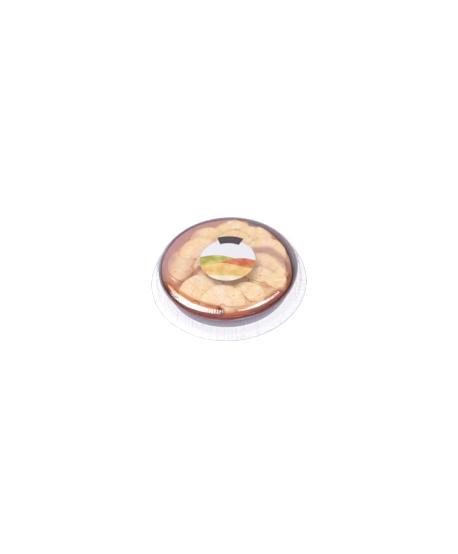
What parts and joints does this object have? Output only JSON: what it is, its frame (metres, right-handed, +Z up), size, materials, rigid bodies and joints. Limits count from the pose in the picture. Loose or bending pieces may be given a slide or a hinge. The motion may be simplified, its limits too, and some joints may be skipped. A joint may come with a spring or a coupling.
{
  "type": "apple tart in dish",
  "caption": "Round caramel apple tart with overlapping half-moon apple slices in a foil dish, packed on a clear base tray under a clear domed lid with a round paper sticker.",
  "frame": {"origin": "centre of the base tray's underside, where the pack stands on a surface", "axes": "+Z up out of the tart, +X to the right and +Y away from the viewer of the picture"},
  "size_m": [0.284, 0.284, 0.0521],
  "materials": {
    "clear_plastic": "thin clear moulded plastic with fine ribs on the lid's shoulder",
    "foil": "pressed aluminium foil, ribbed wall and rolled rim, greyish violet in the light",
    "label_paper": "smooth printed paper in plain fields of colour",
    "caramel": "glossy caramel glaze over pastry and custard, brown at the front and rose-brown at the sides",
    "apple": "baked apple flesh, cream coloured, with a thin wet glaze"
  },
  "bodies": {
    "root": {"base_tray": "clear_plastic", "foil_dish": "foil", "clear_lid": "clear_plastic", "label": "label_paper", "tart_filling": "caramel", "apple_slice_01": "apple", "apple_slice_02": "apple", "apple_slice_03": "apple", "apple_slice_04": "apple", "apple_slice_05": "apple", "apple_slice_06": "apple", "apple_slice_07": "apple", "apple_slice_08": "apple", "apple_slice_09": "apple", "apple_slice_10": "apple", "apple_slice_11": "apple", "apple_slice_12": "apple", "apple_slice_13": "apple", "apple_slice_14": "apple", "apple_slice_15": "apple", "apple_slice_16": "apple", "apple_offcut": "apple"}
  },
  "joints": []
}
